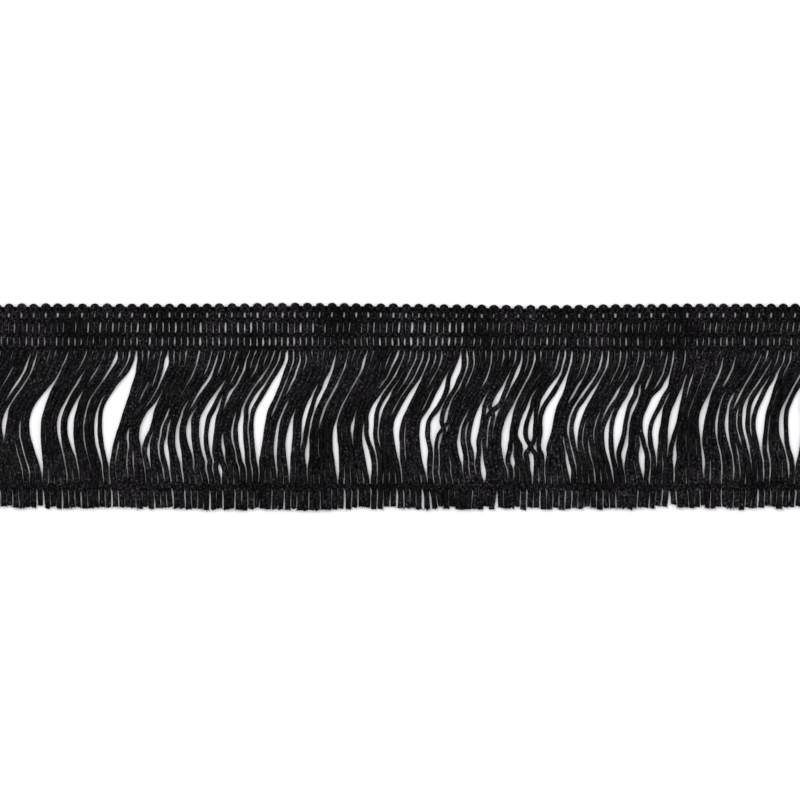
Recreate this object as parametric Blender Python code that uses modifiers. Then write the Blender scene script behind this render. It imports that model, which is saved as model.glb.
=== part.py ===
# A cut length of chainette fringe trim, lying flat and face up, its heading towards +Y.
# One soft yarn runs up and down in loops. Chain-stitched rows hold the loops into a heading, the
# legs hang free below it, and one more chain holds them together just above their cut ends.
# Sizes are in millimetres. MM turns them into metres as each object is made.

import math
from collections import namedtuple

import bmesh
import bpy
import numpy as np
from mathutils import Vector

MM = 0.001

# The loops, along the trim.
LOOPS = 70
LEGS = 2 * LOOPS
LOOP_PITCH = 2.994
LOOP_CROWD = 1.38  # the middle loops sit this far towards +X
LOOP_SWING = 0.46  # one half of the trim is looser and the other tighter by this much
LEGS_APART = 1.5  # the two legs of one loop
LEGS_BEHIND = 0.25  # the legs leave the heading this far to -X of their loop

# Down from the tips of the loops to the cut ends.
TRIM_HEIGHT = 50.0
UPPER_ROWS_AT = (1.6, 4.0, 7.6)
LOWEST_ROW_AT = 10.8
HEADING_END = 11.6
FREE_LENGTH = 31.9  # of each leg, from where the heading ends to where it is next held
HOLDING_ROW_AT = HEADING_END + FREE_LENGTH + 1.0
LONGEST_LEG = TRIM_HEIGHT - HEADING_END

# The chain-stitched rows. The upper ones are let into the band by half its thickness.
ROW_WIDE = 1.3
ROW_TALL = 1.9
ROW_PAST_END = 0.4
ROW_ROUNDING = 0.3

# The heading's band of loops, and its gap to each piece that it meets.
BAND_THICK = 1.0
SCALLOP_DEPTH = 0.9
SCALLOP_STEPS = 4
GAP = 0.3

# The hanging legs. Each has a flat base, and grows thinner where legs crowd together.
LEG_WIDE = 1.15
LEG_TOP_WIDE = 0.8
LEG_TALL = 0.95
LEG_CLEARANCE = 0.1
THINNEST_LEG = 0.3
ROOT_RAISED = 0.35
LEG_LEVELS = (-0.7, 4.0, 8.2, 12.2, 16.4, 20.8, 25.6, FREE_LENGTH)  # down from the heading
TAIL_UNEVEN = 0.45
BOW_EXPONENT = 0.95  # below 1 the bow is fullest above mid height
LEGS_THAT_GIVE = 3.5  # an opening crowds about this many legs on each side

# How the legs lean and bow to -X, by leg number: the drift from top to bottom, and the belly.
Sway = namedtuple("Sway", "leg lean bow")
SWAY = [
    Sway(0, 6.3, 4.6),
    Sway(10, 6.4, 4.5),
    Sway(18, 6.4, 4.7),
    Sway(24, 6.5, 3.3),
    Sway(30, 6.8, 3.0),
    Sway(38, 6.8, 4.2),
    Sway(46, 6.7, 3.6),
    Sway(53, 6.6, 2.8),
    Sway(60, 6.8, 3.5),
    Sway(67, 6.6, 4.2),
    Sway(74, 6.7, 2.9),
    Sway(79, 6.5, 3.4),
    Sway(84, 6.3, 3.1),
    Sway(89, 6.6, 3.8),
    Sway(94, 6.4, 2.4),
    Sway(99, 6.4, 4.4),
    Sway(106, 6.2, 2.4),
    Sway(109, 6.2, 3.1),
    Sway(113, 6.1, 2.1),
    Sway(121, 6.8, 4.5),
    Sway(125, 6.6, 4.6),
    Sway(132, 5.4, 3.4),
    Sway(139, 5.0, 4.4),
]

# Where neighbouring legs part: the gap after leg `gap` opens at `start`, is `wide` at `peak` and
# closes at `stop`, each measured down from the heading.
Opening = namedtuple("Opening", "gap start peak stop wide")
OPENINGS = [
    Opening(6, 2, 7.5, 13, 0.9),
    Opening(7, 12, 17.5, 22.5, 1.2),
    Opening(12, 6, 15.5, 30.5, 3.1),
    Opening(16, 5, 18, 26, 1.1),
    Opening(18, 11, 17.5, 28, 1.5),
    Opening(20, 0, 3.5, 9, 0.7),
    Opening(22, 12, 21, 30, 0.9),
    Opening(23, 1.5, 13.5, 28.5, 5.2),
    Opening(28, 1, 3.5, 9, 1.1),
    Opening(29, 11, 19, 23.5, 2.5),
    Opening(30, 21.5, 24.5, 28.5, 1.2),
    Opening(32, 14.5, 17.5, 28, 1.2),
    Opening(33, 18.5, 24.5, 29.5, 1.3),
    Opening(35, 13, 24, 29, 1.0),
    Opening(36, 2.5, 8, 13.5, 1.2),
    Opening(37, 15.5, 19.5, 27, 1.2),
    Opening(39, 7, 15, 29.5, 1.5),
    Opening(40, 11, 18.5, 28, 1.5),
    Opening(41, 7.5, 10, 13.5, 0.8),
    Opening(41, 27, 28.5, 31.5, 1.0),
    Opening(42, 20, 24, 27.5, 1.0),
    Opening(44, 15.5, 20.5, 27, 0.7),
    Opening(45, 10, 21, 29, 1.7),
    Opening(46, 5, 10.5, 18, 1.5),
    Opening(47, 0.5, 16, 30, 3.0),
    Opening(49, 1, 6.5, 10.5, 0.8),
    Opening(50, 12.5, 23, 30.5, 0.8),
    Opening(52, 14, 22.5, 30.5, 1.6),
    Opening(54, 8.5, 15, 23.5, 1.3),
    Opening(55, 3, 8.5, 19, 1.3),
    Opening(55, 19.5, 25.5, 29, 1.1),
    Opening(60, 15, 24.5, 32, 1.4),
    Opening(62, 14.5, 17, 21.5, 0.8),
    Opening(65, 0, 2, 8, 0.6),
    Opening(65, 17.5, 26, 31.5, 1.5),
    Opening(66, 7.5, 16, 28, 1.4),
    Opening(67, 8.5, 12.5, 18.5, 0.8),
    Opening(70, 4, 15.5, 28.5, 1.6),
    Opening(74, 5.5, 11, 22, 1.7),
    Opening(74, 13, 24.5, 30.5, 2.0),
    Opening(75, 1, 6, 11, 1.4),
    Opening(75, 13.5, 18, 24.5, 1.7),
    Opening(76, 17, 21, 28, 1.0),
    Opening(80, 17, 25, 28.5, 1.0),
    Opening(82, 11.5, 18.5, 27.5, 2.0),
    Opening(83, 22.5, 29.5, 32.5, 1.2),
    Opening(84, 7, 12.5, 15.5, 1.3),
    Opening(85, 2, 6, 10, 0.9),
    Opening(85, 33, 38.5, 44, 1.2),
    Opening(87, 9, 20.5, 28.5, 2.8),
    Opening(88, 23.5, 27, 29, 1.5),
    Opening(90, 10.5, 20, 25.5, 1.5),
    Opening(91, 14.5, 20, 23, 1.3),
    Opening(91, 24, 25.5, 31, 1.1),
    Opening(92, 4, 10.5, 14, 1.3),
    Opening(93, 4.5, 16.5, 29, 2.6),
    Opening(97, 22, 27.5, 32, 0.9),
    Opening(98, 3, 11, 17, 1.1),
    Opening(99, 4, 15.5, 23.5, 1.5),
    Opening(103, 7, 11, 16.5, 0.9),
    Opening(104, 15, 20.5, 30.5, 1.0),
    Opening(105, 3, 19, 26.5, 2.4),
    Opening(106, 10, 13, 18, 1.2),
    Opening(106, 18, 24.5, 28.5, 1.2),
    Opening(109, 22.5, 26, 31.5, 1.8),
    Opening(110, 5.5, 12, 23.5, 2.4),
    Opening(111, 12.5, 18.5, 27, 2.1),
    Opening(113, 6.5, 16.5, 24.5, 2.3),
    Opening(113, 33, 38.5, 44, 1.6),
    Opening(114, 21.5, 26, 29, 1.0),
    Opening(120, 5.5, 13.5, 21, 1.9),
    Opening(120, 21.5, 26.5, 31, 0.8),
    Opening(125, 11.5, 18.5, 30.5, 1.1),
    Opening(127, 7, 15, 26, 1.2),
    Opening(128, 7.5, 12, 18.5, 1.3),
    Opening(129, 2, 16.5, 24.5, 2.5),
    Opening(133, 6.5, 18.5, 24.5, 1.5),
    Opening(134, 8, 19, 28.5, 3.2),
]


# ---- where the yarn runs ----


def loop_centres():
    """X of each loop: an even pitch, with a slow drift in how crowded the loops are."""
    number = np.arange(LOOPS)
    middle = (LOOPS - 1) / 2
    share = (number - middle) / middle
    crowd = LOOP_CROWD * np.cos(math.pi / 2 * share)
    swing = LOOP_SWING * np.sin(math.pi * share)
    return LOOP_PITCH * (number - middle) + crowd + swing


def legs_at_heading():
    centres = loop_centres() - LEGS_BEHIND
    return np.sort(np.concatenate([centres - LEGS_APART / 2, centres + LEGS_APART / 2]))


def sway_of_legs(column):
    """The named column of SWAY at every leg, easing from one row to the next."""
    leg = np.arange(LEGS)
    known_at = np.array([row.leg for row in SWAY])
    known = np.array([getattr(row, column) for row in SWAY])
    row = np.clip(np.searchsorted(known_at, leg, side="right") - 1, 0, len(SWAY) - 2)
    share = (leg - known_at[row]) / (known_at[row + 1] - known_at[row])
    share = share**2 * (3 - 2 * share)
    return known[row] * (1 - share) + known[row + 1] * share


def openings_at(below):
    """How wide each gap stands open at this distance below the heading."""
    wide = np.zeros(LEGS - 1)
    for row in OPENINGS:
        if row.start < below < row.stop:
            side = row.start if below < row.peak else row.stop
            from_peak = (below - row.peak) / (side - row.peak)
            wide[row.gap] += row.wide * (0.5 + 0.5 * math.cos(math.pi * from_peak))
    return wide


def neighbour_weights():
    """Row by row, how much each leg counts in the running mean around one leg."""
    leg = np.arange(LEGS)
    apart = (leg[:, None] - leg[None, :]) / LEGS_THAT_GIVE
    weights = np.exp(-0.5 * apart**2)
    return weights / weights.sum(axis=1, keepdims=True)


def legs_at(below):
    """X of every leg at this distance below the heading. Each opening pushes the legs on its two
    sides apart, and those crowd the next few."""
    share = min(max(below / FREE_LENGTH, 0), 1)
    leaned = sway_of_legs("lean") * share**2 * (3 - 2 * share)
    bowed = sway_of_legs("bow") * math.sin(math.pi * share**BOW_EXPONENT) ** 2
    pushed = np.concatenate([[0], np.cumsum(openings_at(below))])
    return legs_at_heading() - leaned - bowed + pushed - neighbour_weights() @ pushed


def least_of_both(values, axis):
    """At each end of the intervals along this axis, the smaller of the two that meet there."""
    before = [(0, 0), (0, 0)]
    after = [(0, 0), (0, 0)]
    before[axis] = (1, 0)
    after[axis] = (0, 1)
    return np.minimum(np.pad(values, before, mode="edge"), np.pad(values, after, mode="edge"))


def leg_sections(x, below):
    """The size of each leg at each level as a share of its full section, thinner where its
    neighbours stand closer than a full leg."""
    room = least_of_both(np.diff(x, axis=1), axis=1)
    slope = np.diff(x, axis=0) / np.diff(below)[:, None]
    squareness = least_of_both(1 / np.sqrt(1 + slope**2), axis=0)
    return np.clip((room * squareness - LEG_CLEARANCE) / LEG_WIDE, THINNEST_LEG, 1)


def tail_end(leg):
    """How far below the heading this leg is cut off."""
    return LONGEST_LEG - TAIL_UNEVEN * (0.5 + 0.5 * math.sin(2.4 * leg) * math.cos(0.9 * leg + 1))


def from_tips(distance):
    """Y of a line this far below the tips of the loops."""
    return TRIM_HEIGHT / 2 - distance


# ---- making objects ----


def clear_scene():
    for obj in list(bpy.data.objects):
        bpy.data.objects.remove(obj)


def new_collection(name):
    collection = bpy.data.collections.new(name)
    bpy.context.scene.collection.children.link(collection)
    return collection


def yarn_material(name, color, roughness):
    material = bpy.data.materials.new(name)
    material.use_nodes = True
    shader = material.node_tree.nodes["Principled BSDF"]
    shader.inputs["Base Color"].default_value = (*color, 1)
    shader.inputs["Roughness"].default_value = roughness
    shader.inputs["Metallic"].default_value = 0
    return material


def place(obj, collection, root):
    for holder in list(obj.users_collection):
        holder.objects.unlink(obj)
    collection.objects.link(obj)
    obj.parent = root


def hide(helper):
    helper.hide_render = True
    helper.display_type = "WIRE"


def mesh_from_curve(curve_object, collection):
    """The curve's shape as a mesh object of the same name, its caps welded to its sides."""
    bpy.context.view_layer.update()
    evaluated = curve_object.evaluated_get(bpy.context.evaluated_depsgraph_get())
    mesh = bpy.data.meshes.new_from_object(evaluated)
    shape = bmesh.new()
    shape.from_mesh(mesh)
    bmesh.ops.remove_doubles(shape, verts=shape.verts, dist=1e-7)
    bmesh.ops.recalc_face_normals(shape, faces=shape.faces)
    shape.to_mesh(mesh)
    shape.free()
    name = curve_object.name
    matrix = curve_object.matrix_world.copy()
    root = curve_object.parent
    bpy.data.objects.remove(curve_object)
    made = bpy.data.objects.new(name, mesh)
    place(made, collection, root)
    made.matrix_world = matrix
    return made


def unite(obj, others):
    for other in others:
        union = obj.modifiers.new(other.name, "BOOLEAN")
        union.operation = "UNION"
        union.solver = "EXACT"
        union.object = other
        hide(other)


def chain_row(name, x_from, x_to, at, z_from, z_to):
    """A chain-stitched row, this far below the tips: a bar along X with rounded edges."""
    middle = Vector(((x_from + x_to) / 2, from_tips(at), (z_from + z_to) / 2))
    size = Vector((x_to - x_from, ROW_WIDE, z_to - z_from))
    bpy.ops.mesh.primitive_cube_add(size=1, location=middle * MM)
    row = bpy.context.object
    row.name = name
    row.scale = size * MM
    bpy.ops.object.transform_apply(location=False, rotation=False, scale=True)
    rounding = row.modifiers.new("rounding", "BEVEL")
    rounding.width = ROW_ROUNDING * MM
    rounding.segments = 2
    return row


# ---- the heading ----


def scalloped_outline(bottom):
    """The band's outline seen from above: an arc for each loop along the top, straight below."""
    half_wide = (LEGS_APART + LEG_WIDE) / 2
    points = []
    for centre in loop_centres():
        for step in range(SCALLOP_STEPS + 1):
            angle = math.pi * (1 - step / SCALLOP_STEPS)
            rise = SCALLOP_DEPTH * (math.sin(angle) - 1)
            points.append((centre + half_wide * math.cos(angle), from_tips(0) + rise))
    points.append((points[-1][0], bottom))
    points.append((points[0][0], bottom))
    return points


def make_band(name):
    curve = bpy.data.curves.new(name, "CURVE")
    curve.dimensions = "2D"
    curve.fill_mode = "BOTH"
    curve.extrude = BAND_THICK / 2 * MM
    outline = scalloped_outline(from_tips(LOWEST_ROW_AT - ROW_WIDE / 2 - GAP))
    spline = curve.splines.new("POLY")
    spline.points.add(len(outline) - 1)
    for point, (x, y) in zip(spline.points, outline):
        point.co = (x * MM, y * MM, 0, 1)
    spline.use_cyclic_u = True
    band = bpy.data.objects.new(name, curve)
    band.location.z = BAND_THICK / 2 * MM
    return band


def make_heading(parts, helpers, root):
    centres = loop_centres()
    x_from = centres[0] - LEGS_APART / 2 - ROW_PAST_END - LEG_WIDE / 2
    x_to = centres[-1] + LEGS_APART / 2 + ROW_PAST_END + LEG_WIDE / 2
    band = make_band("heading")
    place(band, parts, root)
    heading = mesh_from_curve(band, parts)
    rows = []
    for number, at in enumerate(UPPER_ROWS_AT, start=1):
        row = chain_row(f"chain_row_{number}", x_from, x_to, at, BAND_THICK / 2, ROW_TALL)
        place(row, helpers, root)
        rows.append(row)
    unite(heading, rows)
    return heading


# ---- the fringe ----


def make_leg_profile(name):
    """A leg's cross-section: its flat base lies on the path that the leg follows."""
    curve = bpy.data.curves.new(name, "CURVE")
    curve.dimensions = "2D"
    spline = curve.splines.new("POLY")
    corners = [
        (-LEG_WIDE / 2, 0),
        (LEG_WIDE / 2, 0),
        (LEG_TOP_WIDE / 2, LEG_TALL),
        (-LEG_TOP_WIDE / 2, LEG_TALL),
    ]
    spline.points.add(len(corners) - 1)
    for point, (x, y) in zip(spline.points, corners):
        point.co = (x * MM, y * MM, 0, 1)
    spline.use_cyclic_u = True
    return bpy.data.objects.new(name, curve)


def make_legs(name, profile):
    """All the legs as one curve, a spline each, from inside the lowest chain row to the cut."""
    below = np.array([*LEG_LEVELS, LONGEST_LEG])
    x = np.array([legs_at(level) for level in below])
    sections = leg_sections(x, below)
    curve = bpy.data.curves.new(name, "CURVE")
    curve.dimensions = "3D"
    curve.twist_mode = "Z_UP"
    curve.bevel_mode = "OBJECT"
    curve.bevel_object = profile
    curve.use_fill_caps = True
    for leg in range(LEGS):
        spline = curve.splines.new("POLY")
        spline.points.add(len(below) - 1)
        for level, point in enumerate(spline.points):
            down = min(below[level], tail_end(leg))
            z = ROOT_RAISED if level == 0 else 0
            point.co = (x[level, leg] * MM, from_tips(HEADING_END + down) * MM, z * MM, 1)
            point.radius = sections[level, leg]
    return bpy.data.objects.new(name, curve)


def row_across(x):
    """From where to where a chain row runs to cross every leg at these places."""
    return x[0] - LEG_WIDE / 2 - ROW_PAST_END, x[-1] + LEG_WIDE / 2 + ROW_PAST_END


def make_fringe(parts, helpers, root):
    """The legs, their roots fused into the lowest chain row."""
    profile = make_leg_profile("leg_profile")
    place(profile, helpers, root)
    hide(profile)
    fringe = make_legs("fringe", profile)
    place(fringe, parts, root)
    fringe = mesh_from_curve(fringe, parts)
    row = chain_row("chain_row_4", *row_across(legs_at(0)), LOWEST_ROW_AT, 0, ROW_TALL)
    place(row, helpers, root)
    unite(fringe, [row])
    return fringe


def make_holding_chain(parts, root):
    """The chain that lies across the legs near their cut ends."""
    z_from = LEG_TALL + GAP
    chain = chain_row(
        "holding_chain",
        *row_across(legs_at(FREE_LENGTH)),
        HOLDING_ROW_AT,
        z_from,
        z_from + ROW_TALL / 2,
    )
    place(chain, parts, root)
    return chain


# ---- the whole trim ----


def centre_over_origin(root, made):
    """Moves the trim so that its box is centred over the origin and stands on it."""
    bpy.context.view_layer.update()
    graph = bpy.context.evaluated_depsgraph_get()
    corners = []
    for obj in made:
        corners += [obj.matrix_world @ Vector(corner) for corner in obj.evaluated_get(graph).bound_box]
    lowest = np.min(corners, axis=0)
    highest = np.max(corners, axis=0)
    root.location = (-(lowest[0] + highest[0]) / 2, -(lowest[1] + highest[1]) / 2, -lowest[2])


def build():
    clear_scene()
    parts = new_collection("tassel_fringe_trim")
    helpers = new_collection("helpers")
    root = bpy.data.objects.new("trim", None)
    parts.objects.link(root)
    heading = make_heading(parts, helpers, root)
    fringe = make_fringe(parts, helpers, root)
    holding_chain = make_holding_chain(parts, root)
    heading.data.materials.append(yarn_material("heading_yarn", (0.011, 0.0105, 0.012), 0.75))
    fringe.data.materials.append(yarn_material("leg_yarn", (0.012, 0.0115, 0.013), 0.7))
    holding_chain.data.materials.append(yarn_material("chain_yarn", (0.010, 0.0095, 0.011), 0.8))
    centre_over_origin(root, [heading, fringe, holding_chain])


build()
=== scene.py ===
# A cut length of black chainette fringe trim, lying face up on a pale table.
# One knitted yarn runs up and down in loops. Four chain-stitched rows make the heading, the legs
# hang free below it, and a fifth row holds them together just above their cut ends.
# Lengths in the settings are millimetres, and mm turns them into metres.

import math

import bpy
import numpy as np
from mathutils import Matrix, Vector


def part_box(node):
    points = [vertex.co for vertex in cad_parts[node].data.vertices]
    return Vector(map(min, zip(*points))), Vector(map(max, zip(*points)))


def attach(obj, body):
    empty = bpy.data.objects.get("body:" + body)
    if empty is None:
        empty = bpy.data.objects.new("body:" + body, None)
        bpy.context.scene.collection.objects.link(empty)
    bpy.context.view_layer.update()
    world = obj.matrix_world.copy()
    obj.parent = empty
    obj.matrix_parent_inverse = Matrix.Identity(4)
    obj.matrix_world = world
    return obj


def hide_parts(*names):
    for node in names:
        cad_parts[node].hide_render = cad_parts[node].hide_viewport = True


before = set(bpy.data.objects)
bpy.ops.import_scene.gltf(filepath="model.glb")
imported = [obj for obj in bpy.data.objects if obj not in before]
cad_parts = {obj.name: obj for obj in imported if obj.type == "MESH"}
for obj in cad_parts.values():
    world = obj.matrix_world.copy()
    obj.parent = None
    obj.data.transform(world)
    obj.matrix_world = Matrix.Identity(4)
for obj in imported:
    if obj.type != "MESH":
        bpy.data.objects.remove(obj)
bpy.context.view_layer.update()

mm = 0.001
headingLow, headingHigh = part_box("heading")
middleX = (headingLow.x + headingHigh.x) / 2 / mm  # halfway along the heading
tipsY = headingHigh.y / mm  # the line along the tips of the loops


# where the yarn runs
layout = {
    "loops": 70,
    "pitch": 2.994,
    "crowd": 1.38,  # how far the middle loops sit to +X
    "swing": 0.46,  # one half is looser, the other tighter
    "legsApart": 1.5,
    "headingEnd": 11.6,  # down from the loop tips
    "freeLength": 31.9,  # from there to where the legs are next held
    "rowsAt": (1.62, 4.1, 7.76, 10.95),
    "holdingAt": 44.66,
    "cutAt": 50.0,
    "step": 0.25,
    "slantAt": 0.24,  # slanting legs leave the heading this far to +X
    "slantFrom": 8.0,  # down from the loop tips
    "slantBy": 0.5,  # and come this far to -X below it
    "slantOver": 2.0,
    "slantGone": 8.0,  # where slantAt is made up for
    "bowExponent": 0.95,
    "openingExponent": 1.35,
    "openingShare": 0.93,
    "legsThatGive": 3.5,  # that an opening crowds on each side
    "slit": (0.17, 0.11),  # least light between legs that don't touch, high and low
    "lowDown": (20.0, 6.0),  # from where below the heading, and over what length
    "slitEases": (1.8, 0.7),  # the length it opens over, and the share of that outside it
    "slitShort": (0.6, 0.03),  # how open the shortest is, and what each millimetre adds
    "touch": 0.95,  # of their width, the most between legs that touch
    "pushes": 7,
    "givesOver": (3.0, 5.5),  # in from where they are held, above and below
    "givesPast": 0.4,
    "mostPush": (0.5, 0.3),  # apart, and together
    "closes": 0.6,  # of the way together
    "pushBlur": 3,  # steps
    "slopeBlur": 4,
    "tailLight": (0.05, 0.6),  # in every gap at its top, and the share of the table's
    "tailsOpen": (0.1, 1.6),  # below the holding row
}

everyLeg = np.arange(2 * layout["loops"])
sideOfLoop = everyLeg % 2 * 2 - 1  # -1 for the left leg of each loop, 1 for the right one

# X from halfway along the heading, how far to either side, and how much lower the loop tips lie
tipDips = [(29, 22, 0.43), (-27, 15, -0.21)]

# loop number, how far it sits to +X of an even pitch, and how far its legs leave the heading to -X
loopRows = [
    (0, 0.3, 0.8), (3, 0.27, 0.8), (6, 0.05, 0.7), (10, 0.1, 0.85), (14, 0.15, 0.65), (18, 0.2, 0.5),
    (22, 0.36, 0.55), (26, 0.35, 0.75), (31, 0, 0.43), (35, 0.24, 0.7), (39, 0.36, 0.62), (43, 0.29, 0.65),
    (47, 0.12, 0.27), (51, 0.07, 0.22), (55, 0, 0.42), (59, 0.1, 0.85), (62, 0.12, 1.1), (64, 0.15, 1.15),
    (69, 0.17, 1.2),
]

# loop number, and the share of the slant with which its legs leave the heading
slantRows = [(0, 1), (31, 1), (41, 0), (56, 0), (60, 1), (69, 1)]

# loop number, and how far its legs stand to +X of that between the second and the last row
lateRows = [
    (0, 0.18), (6, 0.22), (14, 0.28), (25, 0.28), (29, 0.05), (32, 0.02), (35, 0.2), (38, 0.28),
    (41, 0.05), (45, 0), (48, -0.1), (52, -0.1), (57, -0.05), (62, 0.03), (69, 0.05),
]

# leg number, lean, bow, early: the drift to -X from top to bottom, the belly to -X on the way, and
# how much more of it comes in the upper half
swayRows = [
    (0, 6.2, 3.75, 0.12), (6, 6.2, 3.7, 0.05), (10, 6.2, 4.35, 0.12), (15, 6.05, 4.3, 0.05), (18, 6, 5, 0),
    (24, 6.1, 2.65, -0.08), (30, 6.7, 2.65, -0.4), (35, 6.75, 3.65, -0.8), (38, 6.75, 4.15, -0.35),
    (46, 6.7, 3.6, -0.15), (49, 6.7, 3.1, 0.1), (53, 6.65, 2.35, -0.3), (60, 7.15, 3.45, 0.12),
    (64, 6.8, 3.8, -0.08), (67, 6.6, 4.45, -0.22), (74, 6.45, 2.8, -0.17), (79, 6.45, 2.8, -0.85),
    (84, 6.3, 3.2, -0.32), (87, 6.45, 2.4, -0.15), (89, 6.7, 3.65, -0.13), (91, 6.65, 3.5, -0.3),
    (94, 6.45, 2.5, -0.3), (99, 6.25, 4.45, -0.5), (106, 6, 2.35, -0.4), (109, 6, 2.9, -0.15),
    (113, 5.75, 2, -0.05), (118, 5.25, 2.5, -0.1), (121, 5.4, 3.6, 0.35), (125, 5.3, 3.8, 0.25),
    (128, 5.2, 3.7, 0.35), (132, 5, 2.85, 0.65), (139, 4.5, 3.6, 0.9),
]

# gap after leg number, where it starts, where it is widest, where it stops, how wide
openingRows = [
    (6, 2, 7.5, 13, 0.9), (7, 12, 17.5, 22.5, 1), (12, 6, 16.5, 31, 3.1), (16, 5, 18, 26, 1.1),
    (18, 2.3, 4.2, 6.6, 0.7), (18, 11, 17.5, 28, 1.5), (20, 0, 3.5, 9, 0.7), (22, 12, 21, 30, 0.9),
    (23, 1.5, 13.5, 28.5, 5.2), (26, 7.5, 9.5, 11.5, 0.6), (28, 1, 3.5, 9, 0.8), (29, 11, 19, 24, 2.5),
    (30, 20.5, 24.5, 28.5, 1), (32, 14.5, 18.5, 28, 0.8), (33, 18.5, 24.5, 29.5, 1.3), (35, 13, 24, 29, 1),
    (36, 2.5, 8, 13.5, 1.2), (37, 15.5, 19.5, 27, 1.2), (39, 7, 15, 29.5, 1.5), (40, 11, 18.5, 28, 1.5),
    (41, 7.5, 10, 13.5, 0.8), (41, 27, 28.5, 31.5, 1), (42, 20, 24, 27.5, 1), (44, 15.5, 20.5, 27, 0.7),
    (45, 10, 21, 29, 1.7), (46, 5, 10.5, 18, 1.5), (47, -1.2, 14.5, 30, 3.3), (49, 1, 6.5, 10.5, 0.8),
    (50, 12.5, 23, 30.5, 0.8), (52, 14, 22.5, 30.5, 1.6), (54, 8.5, 15, 23.5, 1.3), (55, 3, 8.5, 19, 1.3),
    (55, 19.5, 25.5, 29, 1.1), (60, 15, 24.5, 32, 1.4), (63, 15.5, 18.5, 22, 0.9), (65, 0, 2, 8, 0.6),
    (65, 17.5, 26, 31.5, 1.5), (66, 7.5, 16, 28, 1.4), (67, 8.5, 12.5, 18.5, 0.8),
    (70, 4, 15.5, 28.5, 1.6), (74, 5.5, 11, 22, 1.7), (74, 13, 24.5, 30.5, 2), (75, 1, 6, 11, 1.4),
    (75, 13.5, 18, 24.5, 2.4), (76, 12, 18, 27, 1.1), (80, 17, 25, 28.5, 1), (82, 11.5, 18.5, 27.5, 2),
    (83, 22.5, 29.5, 32.5, 1.2), (84, 7, 12.5, 15.5, 1.3), (85, 2, 6, 10, 0.9), (87, 9, 20.5, 28.5, 2.8),
    (88, 23.5, 27, 29, 1.5), (90, 10.5, 20, 25.5, 1.5), (91, 14.5, 20, 23, 1.3), (91, 24, 25.5, 31, 1.1),
    (92, 4, 10.5, 14, 1.3), (93, 4.5, 15.5, 28, 2.5), (97, 22, 27.5, 32, 0.9), (98, 3, 11, 17, 1.1),
    (99, 4, 15.5, 23.5, 1.5), (103, 7, 11, 16.5, 0.9), (104, 15, 20.5, 30.5, 1), (105, 3, 19, 26.5, 2.4),
    (106, 10, 13, 18, 1.2), (106, 18, 24.5, 28.5, 1.2), (109, 22.5, 26, 31.5, 1.8),
    (110, 5.5, 12.5, 24, 2.3), (111, 12.5, 18.5, 27, 1.7), (113, 6.5, 16.5, 24.5, 2.3),
    (114, 5.5, 7.5, 9.5, 0.6), (114, 21.5, 26, 29, 1), (119, 7, 15.5, 23.5, 2.2),
    (119, 21.5, 26.5, 31, 0.8), (124, 11.5, 18, 25, 0.8), (127, 7, 15, 26, 1.2), (128, 7.5, 12, 18.5, 1.3),
    (129, 2, 17, 24.5, 2.5), (133, 6.5, 18.5, 24.5, 1.7), (134, 4, 18, 30.5, 5.2),
]

# gap after leg number, and where light shows through it below the heading: from, to, from, to
slits = {
    3: (0, 2), 4: (4.5, 12), 6: (0, 12), 7: (0, 21), 9: (0, 3, 23, 31), 10: (0, 1, 18, 32), 12: (0, 32),
    15: (0, 5), 16: (5, 32), 18: (2.5, 6.5, 11, 29), 20: (0, 29), 22: (0, 6, 11, 32), 23: (0, 32),
    24: (23, 32), 26: (8, 11.5, 20, 32), 27: (3, 8, 26, 31), 28: (0, 13), 29: (11, 24, 28, 32),
    30: (21, 29), 32: (15, 32), 33: (0, 8, 18, 32), 35: (0, 5, 13, 31), 36: (0, 14), 37: (0, 5, 15, 29),
    39: (0, 5, 8, 31), 40: (4, 8, 12, 30), 41: (0, 13, 28, 32), 42: (0, 3, 21, 28), 43: (0, 5),
    44: (0, 3, 16, 31), 45: (0, 32), 46: (1, 31), 47: (0, 32), 48: (0, 15), 49: (0, 10),
    50: (0, 4, 13, 32), 52: (15, 32), 54: (9, 23), 55: (2, 30), 57: (3, 17), 60: (0, 32), 63: (15.5, 22),
    64: (0, 3), 65: (0, 8, 18, 32), 66: (0, 30), 67: (0, 3, 8, 23), 68: (0, 10), 69: (0, 15), 70: (0, 32),
    71: (0, 5, 19, 26), 72: (0, 9), 73: (9, 14), 74: (6, 31), 75: (0, 11, 13, 32),
    76: (0, 18.5, 19.5, 32), 77: (0, 8), 78: (27, 32), 80: (0, 8, 16, 32), 81: (18, 32),
    82: (0, 3, 12, 29), 83: (22, 32), 84: (0, 3, 6, 23), 85: (0, 11, 15, 18), 86: (0, 4), 87: (0, 32),
    88: (23, 32), 90: (10, 26), 91: (0, 6, 15, 32), 92: (0, 15), 93: (0, 30), 95: (0, 6),
    96: (0, 5, 7, 12), 97: (22, 32), 98: (0, 28), 99: (0, 24), 100: (18, 24), 101: (0, 8, 22, 32),
    102: (0, 7, 15, 22), 103: (6, 17), 104: (0, 3, 15, 31), 105: (2, 27), 106: (0, 1, 9, 29), 107: (4, 9),
    109: (2, 9, 22, 32), 110: (0, 32), 111: (11, 28), 112: (0, 5, 27, 31), 113: (6, 25),
    114: (6, 9, 22, 31), 118: (0, 3), 119: (0, 32), 120: (0, 2, 27, 32), 121: (0, 8), 122: (0, 2, 15, 32),
    123: (0, 3), 124: (0, 3, 11.5, 32), 125: (0, 13, 23, 32), 126: (0, 3, 15, 22), 127: (3, 27),
    128: (0, 3, 7, 20), 129: (0, 32), 130: (0, 5, 22, 31), 133: (6, 32), 135: (14, 32), 137: (0, 12),
}

# the legs beside this gap change places, how far below the heading, and over what length
crossRows = [(76, 18.9, 3.8), (84, 14.8, 3.2), (91, 23.5, 4)]


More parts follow.
